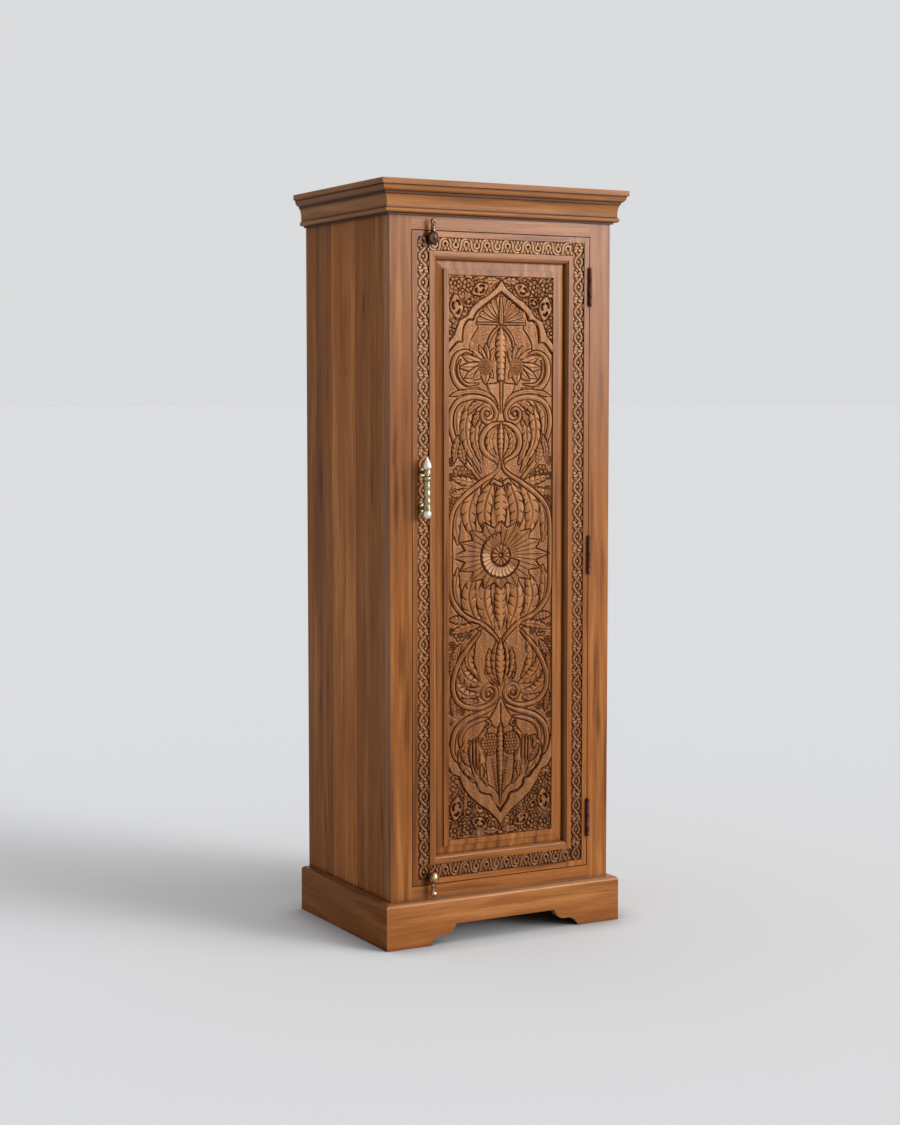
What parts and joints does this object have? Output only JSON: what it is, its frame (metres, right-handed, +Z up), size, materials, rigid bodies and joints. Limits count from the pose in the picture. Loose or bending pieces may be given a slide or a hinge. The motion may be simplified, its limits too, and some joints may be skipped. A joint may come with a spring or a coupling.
{
  "type": "almirah",
  "caption": "Tall narrow wooden almirah: a door with carved panel and border swings on butt hinges under a moulded cornice, over a bracket plinth, with shelves inside and turn latches.",
  "frame": {"origin": "on the floor under the middle of the whole piece, cornice included", "axes": "+X to the right as seen from the front, +Y to the back, +Z up"},
  "size_m": [0.672, 0.49, 1.8],
  "materials": {
    "case_wood": "satin",
    "door_wood": "satin",
    "inside_wood": "matte",
    "antique_brass": "aged",
    "dark_bronze": "aged"
  },
  "bodies": {
    "carcass": {"back_board_1": "inside_wood", "back_board_2": "inside_wood", "back_board_3": "inside_wood", "bottom_board": "inside_wood", "cornice_front": "case_wood", "cornice_left": "case_wood", "cornice_right": "case_wood", "door_stop": "inside_wood", "frame_rail_bottom": "case_wood", "frame_rail_top": "case_wood", "frame_stile_left": "case_wood", "frame_stile_right": "case_wood", "hinge_frame_leaf_bottom": "dark_bronze", "hinge_frame_leaf_middle": "dark_bronze", "hinge_frame_leaf_top": "dark_bronze", "hinge_frame_screws": "dark_bronze", "hinge_pins": "dark_bronze", "plinth_back": "inside_wood", "plinth_blocks": "inside_wood", "plinth_front": "case_wood", "plinth_left": "case_wood", "plinth_right": "case_wood", "shelf_1": "inside_wood", "shelf_2": "inside_wood", "shelf_3": "inside_wood", "shelf_4": "inside_wood", "shelf_cleats": "inside_wood", "side_left": "case_wood", "side_right": "case_wood", "top_board": "case_wood"},
    "door": {"border_carving_bottom": "door_wood", "border_carving_left": "door_wood", "border_carving_right": "door_wood", "border_carving_top": "door_wood", "door_panel": "door_wood", "door_rail_bottom": "door_wood", "door_rail_top": "door_wood", "door_stile_left": "door_wood", "door_stile_right": "door_wood", "handle_bolts": "antique_brass", "handle_cap_bottom": "antique_brass", "handle_cap_top": "antique_brass", "handle_grip": "antique_brass", "handle_posts": "antique_brass", "hinge_door_leaf_bottom": "dark_bronze", "hinge_door_leaf_middle": "dark_bronze", "hinge_door_leaf_top": "dark_bronze", "hinge_door_screws": "dark_bronze", "latch_rose_bottom": "dark_bronze", "latch_rose_top": "dark_bronze", "panel_bead_bottom": "door_wood", "panel_bead_left": "door_wood", "panel_bead_right": "door_wood", "panel_bead_top": "door_wood", "panel_carving": "door_wood"},
    "latch_top": {"latch_lever_top": "dark_bronze", "latch_tongue_top": "dark_bronze"},
    "latch_bottom": {"latch_lever_bottom": "dark_bronze", "latch_tongue_bottom": "dark_bronze"}
  },
  "joints": [
    {"name": "door_hinge", "type": "hinge", "parent": "carcass", "child": "door", "pos_m": [0.244, -0.2146, 0.91475], "axis": [0, 0, 1], "range_deg": [0, 170]},
    {"name": "latch_top_turn", "type": "hinge", "parent": "door", "child": "latch_top", "pos_m": [-0.196, -0.2265, 1.6645], "axis": [0, -1, 0], "range_deg": [0, 90]},
    {"name": "latch_bottom_turn", "type": "hinge", "parent": "door", "child": "latch_bottom", "pos_m": [-0.196, -0.2265, 0.165], "axis": [0, 1, 0], "range_deg": [0, 90]}
  ]
}
